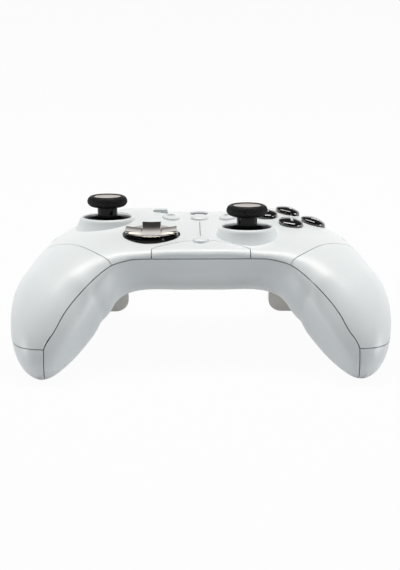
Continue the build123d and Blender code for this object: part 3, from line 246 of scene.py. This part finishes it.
# Anodised aluminium discs of the thumb caps, warm grey
disc_metal = {side: turned_metal("anodised_aluminium_" + side, ("D2C9C2", "C4BBB4"), 0.28, spot, 0.5, 0.01)
              for side, spot in STICKS.items()}
# Dark chrome of the direction pad, brighter chrome of the home disc, zinc-plated steel inside
dish_chrome = plated("dark_chrome", ("C6C0B9", "B8B1AA"), 0.14)
home_chrome = plated("bright_chrome", ("D5D9DC", "CACED2"), 0.2)
steel = plated("zinc_plated_steel", ("9EA0A2", "8D9092"), 0.3)
# Pad-printing inks: pale grey of the numerals, mid grey of the bars and squares. The same mid grey is painted
# along the face's groove as its shade
ink = moulded("pale_grey_ink", ("C4C8CC", "BBC0C5"), 0.4, 0.3, 0.004)
icon_ink_and_groove_shade = moulded("mid_grey_ink_and_painted_groove_shade", ("6F777D", "687076"), 0.45, 0.3, 0.004)

# Finish of each node by the end of its name. All others are moulded black.
FINISHES = {
    ("front_shell", "rear_shell", "chin_panel", "top_bridge", "battery_door", "grip_cover",
     "side_rail"): shell_white,
    ("_bumper",): bumper_white,
    ("_trigger",): trigger_white,
    ("view_button", "menu_button", "share_button", "profile_button"): button_white,
    ("home_button",): home_chrome,
    # the mode button's pale grey-blue is painted shade
    ("mode_button",): mode_button_painted_shade,
    ("face_button_1", "face_button_2", "face_button_3", "face_button_4"): clear_black,
    ("dpad_base_ring", "stick_shaft"): gloss_black,
    ("stick_cap",): rubber,
    ("left_stick_disc",): disc_metal["left"],
    ("right_stick_disc",): disc_metal["right"],
    ("dpad_dish",): dish_chrome,
    ("button_pads",): silicone,
    ("main_board", "button_board"): solder_mask,
    ("board_chips",): chip_case,
    ("battery_pack",): cell_wrap,
    ("board_switches", "case_screws", "charging_socket", "_motor", "_weight", "_pin", "_spring"): steel,
}
for node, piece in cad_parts.items():
    fitting = [material for ends, material in FINISHES.items() if node.endswith(ends)]
    piece.data.materials.clear()
    piece.data.materials.append(fitting[0] if fitting else inner_black)


# ---- surfaces: whole grids in numpy, then one mesh each
def placed(name, mesh, body, material):
    """Object of the mesh in one material, riding on a body."""
    mesh.materials.clear()
    mesh.materials.append(material)
    piece = bpy.data.objects.new(name, mesh)
    bpy.context.scene.collection.objects.link(piece)
    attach(piece, body)
    return piece


def grid_piece(name, points, body, material, closed_u=False, merge=True):
    """Mesh from a grid of table points [u, v, 3]; closed_u joins the last column of u to the first."""
    index = np.arange(points.shape[0] * points.shape[1]).reshape(points.shape[:2])
    here, after = (index, np.roll(index, -1, axis=0)) if closed_u else (index[:-1], index[1:])
    quads = np.stack([here[:, :-1], after[:, :-1], after[:, 1:], here[:, 1:]], axis=-1).reshape(-1, 4)
    mesh = bpy.data.meshes.new(name)
    mesh.from_pydata(points.reshape(-1, 3).tolist(), [], quads.tolist())
    if merge:
        work = bmesh.new()
        work.from_mesh(mesh)
        bmesh.ops.remove_doubles(work, verts=work.verts, dist=1e-7)
        bmesh.ops.recalc_face_normals(work, faces=work.faces)
        work.to_mesh(mesh)
        work.free()
    mesh.shade_smooth()
    return placed(name, mesh, body, material)


def eased(corners, rounds):
    """Open line through corners with its inner corners cut at quarters, rounds times (Chaikin)."""
    line = np.asarray(corners, dtype=float)
    for _ in range(rounds):
        quarter = 0.75 * line[:-1] + 0.25 * line[1:]
        three = 0.25 * line[:-1] + 0.75 * line[1:]
        line = np.concatenate([line[:1], np.stack([quarter, three], axis=1).reshape(-1, 2), line[-1:]])
    return line


def full_turn(count):
    """Column of count even turns of one circle."""
    return np.linspace(0.0, 2 * math.pi, count, endpoint=False)[:, None]


# ---- thumb sticks: profiles as radius and height in mm
CAP_PROFILE = [(0.0, 4.4), (5.4, 4.4), (6.5, 4.45), (7.45, 4.75), (8.25, 5.45), (8.68, 6.3), (8.72, 7.0),
               (8.4, 7.95), (7.75, 8.68), (7.1, 9.02), (6.6, 9.1), (6.2, 9.06), (5.95, 8.88), (5.9, 8.5),
               (5.9, 8.2), (0.0, 8.2)]
DISC_PROFILE = [(0.0, 8.62), (3.0, 8.63), (5.0, 8.72), (5.6, 8.8), (5.84, 8.72), (5.86, 8.4), (5.86, 8.25)]
WELL_PROFILE = [(10.1, -1.15), (9.75, -2.2), (9.25, -3.4), (8.85, -4.4), (8.7, -4.75)]
LIP_PROFILE = [(11.1, -0.08), (10.9, 0.0), (10.5, -0.03), (10.2, -0.3), (10.1, -0.8), (10.12, -1.3)]
CAP_STEPS = 150
CAP_TURNS = 540
TRIM_TURNS = 160
TRIM_WALL = 0.12
KNURL_COUNT = 54
KNURL_PITCH = 1.9
KNURL_DEPTH = 0.3
KNURL_INSIDE = 6.8
KNURL_LOW = 4.7
KNURL_HIGH = 8.75
KNURL_FADE = 0.5


def knurled_cap(side):
    """Profile turned about the stick's axis. Outside KNURL_INSIDE and between the heights KNURL_LOW and
    KNURL_HIGH the radius loses depth x (1 - root of |sin(pi a) sin(pi b)|), where a and b count diamonds
    along the two slants."""
    x, y, crest = STICKS[side]
    line = eased(CAP_PROFILE, 3)
    along = np.concatenate([[0.0], np.cumsum(np.hypot(*np.diff(line, axis=0).T))])
    even = np.linspace(0.0, along[-1], CAP_STEPS)
    radius = np.interp(even, along, line[:, 0])
    height = np.interp(even, along, line[:, 1])
    turn = full_turn(CAP_TURNS)
    a = KNURL_COUNT * turn / (2 * math.pi) + even / KNURL_PITCH
    b = KNURL_COUNT * turn / (2 * math.pi) - even / KNURL_PITCH
    bite = 1.0 - np.sqrt(np.abs(np.sin(math.pi * a) * np.sin(math.pi * b)))
    band = (np.clip((height - KNURL_LOW) / KNURL_FADE, 0, 1)
            * np.clip((KNURL_HIGH - height) / KNURL_FADE, 0, 1))
    reach = radius - KNURL_DEPTH * bite * band * (radius > KNURL_INSIDE)
    points = deck_grid(x + reach * np.cos(turn), y + reach * np.sin(turn), crest + height)
    piece = grid_piece(side + "_knurled_cap", points, side + "_stick", rubber, closed_u=True)
    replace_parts(piece, side + "_stick_cap")


def turned_piece(name, side, profile, body, material):
    """Surface of revolution: (r, h) -> (x + r cos t, y + r sin t, crest + h) in deck millimetres."""
    x, y, crest = STICKS[side]
    radius, height = eased(profile, 2).T
    turn = full_turn(TRIM_TURNS)
    points = deck_grid(x + radius * np.cos(turn), y + radius * np.sin(turn), crest + height)
    return grid_piece(name, points, body, material, closed_u=True)


def stick_trim(side):
    """Sunken metal disc of the cap, white lip round the mouth and gloss black cone below it."""
    disc = turned_piece(side + "_cap_disc", side, DISC_PROFILE, side + "_stick", disc_metal[side])
    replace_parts(disc, side + "_stick_disc")
    lip = turned_piece(side + "_well_lip", side, LIP_PROFILE, "housing", shell_white)
    cone = turned_piece(side + "_well_liner", side, WELL_PROFILE, "housing", gloss_black)
    for piece in (lip, cone):
        wall = piece.modifiers.new("wall", "SOLIDIFY")
        wall.thickness = TRIM_WALL * MM
        wall.offset = 0.0


for side in STICKS:
    knurled_cap(side)
    stick_trim(side)

# ---- direction pad as the photo shows it: an eight-sided dish with a cross whose arms rise to the back
PAD_CENTRE = (-20.5, -6.6)
PAD_FLOOR = -3.28
PLATE_REACH = 10.2
ARM_HALF = 4.1
ARM_REACH = 10.8
ARM_EDGE = 0.3
ARM_STEPS = 24


def arm_height(u, v):
    """Top of the cross: tips in the plane z = -1.72 + 0.108 v, hollowed by 1.0 x (1 - r^2 / reach^2)."""
    hollow = 1.0 - (u ** 2 + v ** 2) / ARM_REACH ** 2
    return -1.72 + 0.108 * v - hollow


def plate_height(v, share):
    """Top of the plate: rim in the plane z = -2.45 + 0.045 v, falling 0.7 towards the middle."""
    return -2.45 + 0.045 * v - 0.7 * (1.0 - share)


def flat_piece(name, u, v, z, material, closed_u=False):
    """Piece of the pad from points about its centre, each facet flat."""
    points = deck_grid(PAD_CENTRE[0] + u, PAD_CENTRE[1] + v, z)
    piece = grid_piece(name, points, "dpad", material, closed_u=closed_u)
    piece.data.shade_flat()
    return piece


def edged_line(low, high):
    """Even places from low to high with each end doubled, and how far the surface drops at each of them."""
    inner = np.linspace(low + ARM_EDGE, high - ARM_EDGE, ARM_STEPS)
    places = np.concatenate([[low, low], inner, [high, high]])
    drops = np.zeros(len(places))
    drops[[1, -2]] = ARM_EDGE
    return places, drops


def pad_arm(name, low_u, high_u, low_v, high_v):
    """Grid over a rectangle at arm_height. Its border is cut at 45 degrees, then drops to the floor."""
    (line_u, drop_u), (line_v, drop_v) = edged_line(low_u, high_u), edged_line(low_v, high_v)
    u, v = np.meshgrid(line_u, line_v, indexing="ij")
    z = arm_height(u, v) - np.maximum(drop_u[:, None], drop_v[None, :])
    z[[0, -1], :] = PAD_FLOOR
    z[:, [0, -1]] = PAD_FLOOR
    flat_piece(name, u, v, z, dish_chrome)


def pad_rings(name, rings, material):
    """Eight-sided rings (f, drop): at turn t the flat at distance f lies at radius f / cos(t folded to
    +-22.5 degrees), and its corners are cut off at 1.04 f. A drop of None puts the ring on the floor."""
    turn = np.radians(np.arange(0.0, 360.0, 3.75))[:, None]
    folded = (turn + math.pi / 8) % (math.pi / 4) - math.pi / 8
    flat = np.array([ring[0] for ring in rings])
    radius = flat * np.minimum(1.0 / np.cos(folded), 1.04)
    u, v = radius * np.cos(turn), radius * np.sin(turn)
    z = plate_height(v, np.minimum(flat / PLATE_REACH, 1.0)) - np.array([drop or 0.0 for _, drop in rings])
    z[:, [drop is None for _, drop in rings]] = PAD_FLOOR
    return flat_piece(name, u, v, z, material, closed_u=True)


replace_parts(pad_rings("pad_plate", [(0.02, 0.0), (3.0, 0.0), (6.0, 0.0), (9.0, 0.0), (PLATE_REACH, 0.0),
                                    (PLATE_REACH, 0.26), (10.7, 0.28), (11.0, 0.3), (11.1, 0.36)],
                      dish_chrome), "dpad_dish")
pad_rings("pad_skirt", [(11.1, 0.36), (11.1, None), (9.2, None)], gloss_black)
pad_arm("pad_arm_middle", -ARM_HALF, ARM_HALF, -ARM_REACH, ARM_REACH)
pad_arm("pad_arm_left", -ARM_REACH, -ARM_HALF, -ARM_HALF, ARM_HALF)
pad_arm("pad_arm_right", ARM_HALF, ARM_REACH, -ARM_HALF, ARM_HALF)

# ---- button heads, each a cap of a ball, with the ball's centre from part.py's face, in deck mm
FACE_RADIUS = 13.0
FACE_REACH = 5.24
FACE_LIFT = 0.6
SMALL_RADIUS = 9.0
SMALL_LIFT = 0.5
INK_LIFT = 0.03
# Numeral: ball centre, centre of the head, centre of the numeral
FACE_BUTTONS = {
    "1": ((37.71, 10.097, -13.407), (39.2, 8.5), (39.455, 8.227)),
    "2": ((46.492, 18.171, -14.253), (49.7, 17.5), (50.249, 17.385)),
    "3": ((28.402, 19.113, -11.222), (28.7, 17.5), (28.751, 17.224)),
    "4": ((36.917, 26.966, -11.237), (39.2, 26.5), (39.591, 26.42)),
}
# Body: ball centre, centre of the head, reach of the head
SMALL_BUTTONS = {
    "view": ((-13.115, 18.472, -9.076), (-12.4, 17.6), 3.83),
    "menu": ((13.115, 18.472, -9.076), (12.4, 17.6), 3.83),
    "share": ((0.0, 18.45, -9.212), (0.0, 17.6), 3.83),
    "profile": ((0.0, -14.701, -13.167), (0.0, -15.8), 3.33),
}
SIGN_CENTRES = {"view": (-12.3, 17.479), "menu": (12.3, 17.479)}
# Rings of a head: share of its reach, and how far each lies under the ball in mm
HEAD_RINGS = np.array([(0.002, 0.0), (0.2, 0.0), (0.4, 0.0), (0.58, 0.0), (0.72, 0.0), (0.84, 0.0),
                       (0.906, 0.03), (0.95, 0.1), (0.98, 0.22), (0.996, 0.4), (1.0, 0.6), (1.0, 2.3)])
HEAD_TURNS = 96


def ball_top(x, y, ball, radius):
    """Upper side of a ball: z = ball z + root(r^2 - dx^2 - dy^2)."""
    return ball[2] + np.sqrt(radius ** 2 - (x - ball[0]) ** 2 - (y - ball[1]) ** 2)


def raised_head(name, place, ball, radius, lift, reach, finish):
    """Head over a button: the ball's upper side raised by lift, with a rounded edge and an upright wall."""
    body, slot_name, material = finish
    turn = full_turn(HEAD_TURNS)
    shares, drops = HEAD_RINGS.T
    x = place[0] + reach * shares * np.cos(turn)
    y = place[1] + reach * shares * np.sin(turn)
    points = deck_grid(x, y, ball_top(x, y, ball, radius) + lift - drops)
    grid_piece(name, points, body, material, closed_u=True)


NUMERAL_SIZE = 7.4
NUMERAL_WEIGHT = 0.16
LONGEST_EDGE = 0.5
CUT_ROUNDS = 3


def printed_numeral(words, ball, centre):
    """Numeral made a mesh, cut fine, then laid on the button's raised ball."""
    curve = bpy.data.curves.new("numeral_" + words, "FONT")
    curve.body = words
    curve.size = NUMERAL_SIZE
    curve.align_x = "CENTER"
    curve.align_y = "CENTER"
    curve.offset = NUMERAL_WEIGHT
    text = bpy.data.objects.new("numeral_" + words, curve)
    mesh = bpy.data.meshes.new_from_object(text)
    bpy.data.objects.remove(text)
    work = bmesh.new()
    work.from_mesh(mesh)
    bmesh.ops.triangulate(work, faces=work.faces)
    for _ in range(CUT_ROUNDS):
        long_edges = [edge for edge in work.edges if edge.calc_length() > LONGEST_EDGE]
        bmesh.ops.subdivide_edges(work, edges=long_edges, cuts=1)
        bmesh.ops.triangulate(work, faces=work.faces)
    work.to_mesh(mesh)
    work.free()
    flat = np.empty(len(mesh.vertices) * 3)
    mesh.vertices.foreach_get("co", flat)
    u, v, _ = flat.reshape(-1, 3).T
    x, y = centre[0] + u, centre[1] + v
    raised = deck_grid(x, y, ball_top(x, y, ball, FACE_RADIUS + INK_LIFT) + FACE_LIFT)
    mesh.vertices.foreach_set("co", raised.ravel())
    mesh.update()
    placed("printed_numeral_" + words, mesh, "button_" + words, ink)


for words, (ball, place, centre) in FACE_BUTTONS.items():
    raised_head("clear_dome_" + words, place, ball, FACE_RADIUS, FACE_LIFT, FACE_REACH,
                ("button_" + words, "black_gloss", clear_black))
    printed_numeral(words, ball, centre)
for body, (ball, place, reach) in SMALL_BUTTONS.items():
    raised_head(body + "_head", place, ball, SMALL_RADIUS, SMALL_LIFT, reach,
                (body, "button_white", button_white))

BAR_POINTS = 10
BAR_ROWS = (-0.95, 0.0, 0.95)
BAR_HALF = (1.35, 0.19)
SQUARE_CENTRES = ((-0.45, -0.4), (0.45, 0.4))
SQUARE_HALF = 0.95
SQUARE_INNER = SQUARE_HALF - 0.28


def printed_bar(name, body, low, high):
    """Rectangle from low to high in flat mm, as a square grid laid on the button's raised ball."""
    ball, centre = SMALL_BUTTONS[body][0], SIGN_CENTRES[body]
    x = centre[0] + np.linspace(low[0], high[0], BAR_POINTS)[:, None]
    y = centre[1] + np.linspace(low[1], high[1], BAR_POINTS)[None, :]
    points = deck_grid(x, y, ball_top(x, y, ball, SMALL_RADIUS + INK_LIFT) + SMALL_LIFT)
    grid_piece(name, points, body, icon_ink_and_groove_shade, merge=False)


# Three bars on the menu button, two offset squares in outline on the view button
for count, row in enumerate(BAR_ROWS, 1):
    printed_bar("menu_bar_%d" % count, "menu",
                (-BAR_HALF[0], row - BAR_HALF[1]), (BAR_HALF[0], row + BAR_HALF[1]))
SQUARE_SIDES = {
    "low": ((-SQUARE_HALF, -SQUARE_HALF), (SQUARE_HALF, -SQUARE_INNER)),
    "high": ((-SQUARE_HALF, SQUARE_INNER), (SQUARE_HALF, SQUARE_HALF)),
    "left": ((-SQUARE_HALF, -SQUARE_HALF), (-SQUARE_INNER, SQUARE_HALF)),
    "right": ((SQUARE_INNER, -SQUARE_HALF), (SQUARE_HALF, SQUARE_HALF)),
}
for count, (u, v) in enumerate(SQUARE_CENTRES, 1):
    for part, (low, high) in SQUARE_SIDES.items():
        printed_bar("view_square_%d_%s" % (count, part), "view",
                    (u + low[0], v + low[1]), (u + high[0], v + high[1]))

# Painted shade of the fine groove down the middle of the face, between the two middle buttons: y and height of
# the face there
GROOVE = np.array([(11.4, -2.075), (8.0, -2.489), (4.0, -2.969), (0.0, -3.429), (-4.0, -3.882),
                   (-8.0, -4.345), (-10.8, -4.685)])
GROOVE_HALF = 0.16
GROOVE_LIFT = 0.035
GROOVE_POINTS = 40


def face_groove_painted_shade():
    """Mid grey strip painted along y as the groove's shade, its height taken between the face's own heights
    and raised by GROOVE_LIFT.
    """
    x = np.array([-GROOVE_HALF, 0.0, GROOVE_HALF])[:, None]
    y = np.linspace(GROOVE[0, 0], GROOVE[-1, 0], GROOVE_POINTS)[None, :]
    z = np.interp(-y, -GROOVE[:, 0], GROOVE[:, 1]) + GROOVE_LIFT
    grid_piece("face_groove_painted_shade", deck_grid(x, y, z), "housing", icon_ink_and_groove_shade, merge=False)


face_groove_painted_shade()

# ---- studio: pale floor that keeps the shadow, one large soft box above, two low ones at the sides
FLOOR_HALF = 6.0
FLOOR_WHITE_SHARE = 0.96
WHITE = (1, 1, 1, 1)


def seen_share(tree, rays, *kinds):
    """1 for rays of these kinds, 0 for all others."""
    share = rays.outputs[kinds[0]]
    for kind in kinds[1:]:
        share = add(tree, "ShaderNodeMath", {0: share, 1: rays.outputs[kind]}, operation="MAXIMUM").outputs[0]
    return share


def studio_floor():
    """Flat square; camera, glossy and transmission rays see it mostly as plain white."""
    mesh = bpy.data.meshes.new("studio_floor")
    corners = [(x * FLOOR_HALF, y * FLOOR_HALF, 0) for x, y in ((-1, -1), (1, -1), (1, 1), (-1, 1))]
    mesh.from_pydata(corners, [], [(0, 1, 2, 3)])
    floor = bpy.data.objects.new("studio_floor", mesh)
    bpy.context.scene.collection.objects.link(floor)
    material = bpy.data.materials.new("studio_white")
    tree = empty_tree(material)
    matt = add(tree, "ShaderNodeBsdfDiffuse", Color=linear("C4C6C8"))
    glow = add(tree, "ShaderNodeEmission", Color=WHITE, Strength=1.0)
    seen = seen_share(tree, add(tree, "ShaderNodeLightPath"),
                      "Is Camera Ray", "Is Glossy Ray", "Is Transmission Ray")
    share = add(tree, "ShaderNodeMath", {0: seen}, operation="MULTIPLY")
    share.inputs[1].default_value = FLOOR_WHITE_SHARE
    mixed = add(tree, "ShaderNodeMixShader", {0: share.outputs[0], 1: matt.outputs[0], 2: glow.outputs[0]})
    add(tree, "ShaderNodeOutputMaterial", {"Surface": mixed.outputs[0]})
    mesh.materials.append(material)
    floor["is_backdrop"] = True


def set_world():
    """White to the camera. As light it is dim pale grey. Mirror-like surfaces see a studio round them:
    white low down behind, dark flags higher up and on the player's side."""
    world = bpy.data.worlds.new("studio_world")
    bpy.context.scene.world = world
    tree = empty_tree(world)
    way = add(tree, "ShaderNodeSeparateXYZ", {"Vector": add(tree, "ShaderNodeTexCoord").outputs["Generated"]})
    height = add(tree, "ShaderNodeMapRange", {"Value": way.outputs["Z"]}, interpolation_type="SMOOTHSTEP",
                 From_Min=0.22, From_Max=0.46, To_Min=1.0, To_Max=0.06)
    behind = add(tree, "ShaderNodeMapRange", {"Value": way.outputs["Y"]}, interpolation_type="SMOOTHSTEP",
                 From_Min=-0.5, From_Max=0.1, To_Min=0.05, To_Max=1.0)
    flags = add(tree, "ShaderNodeMath", {0: height.outputs[0], 1: behind.outputs[0]}, operation="MULTIPLY")
    dim = add(tree, "ShaderNodeBackground", Color=linear("F4F6F8"), Strength=0.3)
    mirrored = add(tree, "ShaderNodeBackground", {"Strength": flags.outputs[0]}, Color=WHITE)
    white = add(tree, "ShaderNodeBackground", Color=WHITE, Strength=1.0)
    rays = add(tree, "ShaderNodeLightPath")
    glossy = add(tree, "ShaderNodeMixShader",
                 {0: rays.outputs["Is Glossy Ray"], 1: dim.outputs[0], 2: mirrored.outputs[0]})
    mixed = add(tree, "ShaderNodeMixShader",
                {0: seen_share(tree, rays, "Is Camera Ray", "Is Transmission Ray"),
                 1: glossy.outputs[0], 2: white.outputs[0]})
    add(tree, "ShaderNodeOutputWorld", {"Surface": mixed.outputs[0]})


def soft_box(name, place, target, size, power, colour="FFFFFF"):
    """Rectangular light of size (width, depth) in metres at place, facing target."""
    data = bpy.data.lights.new(name, "AREA")
    data.shape = "RECTANGLE"
    data.size, data.size_y = size
    data.energy = power
    data.color = linear(colour)[:3]
    lamp = bpy.data.objects.new(name, data)
    aim = (Vector(target) - Vector(place)).normalized()
    lamp.matrix_world = Matrix.Translation(Vector(place)) @ aim.to_track_quat("-Z", "Y").to_matrix().to_4x4()
    bpy.context.scene.collection.objects.link(lamp)


studio_floor()
set_world()
soft_box("box_above", (0.0, 0.2, 0.9), (0.0, 0.0, 0.04), (0.9, 0.28), 8.3, "FFFBF5")
soft_box("box_left", (-0.8, -0.2, 0.12), (0.0, 0.0, 0.03), (0.3, 0.24), 1.5)
soft_box("box_right", (0.8, -0.2, 0.12), (0.0, 0.0, 0.03), (0.3, 0.24), 1.9)

low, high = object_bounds()
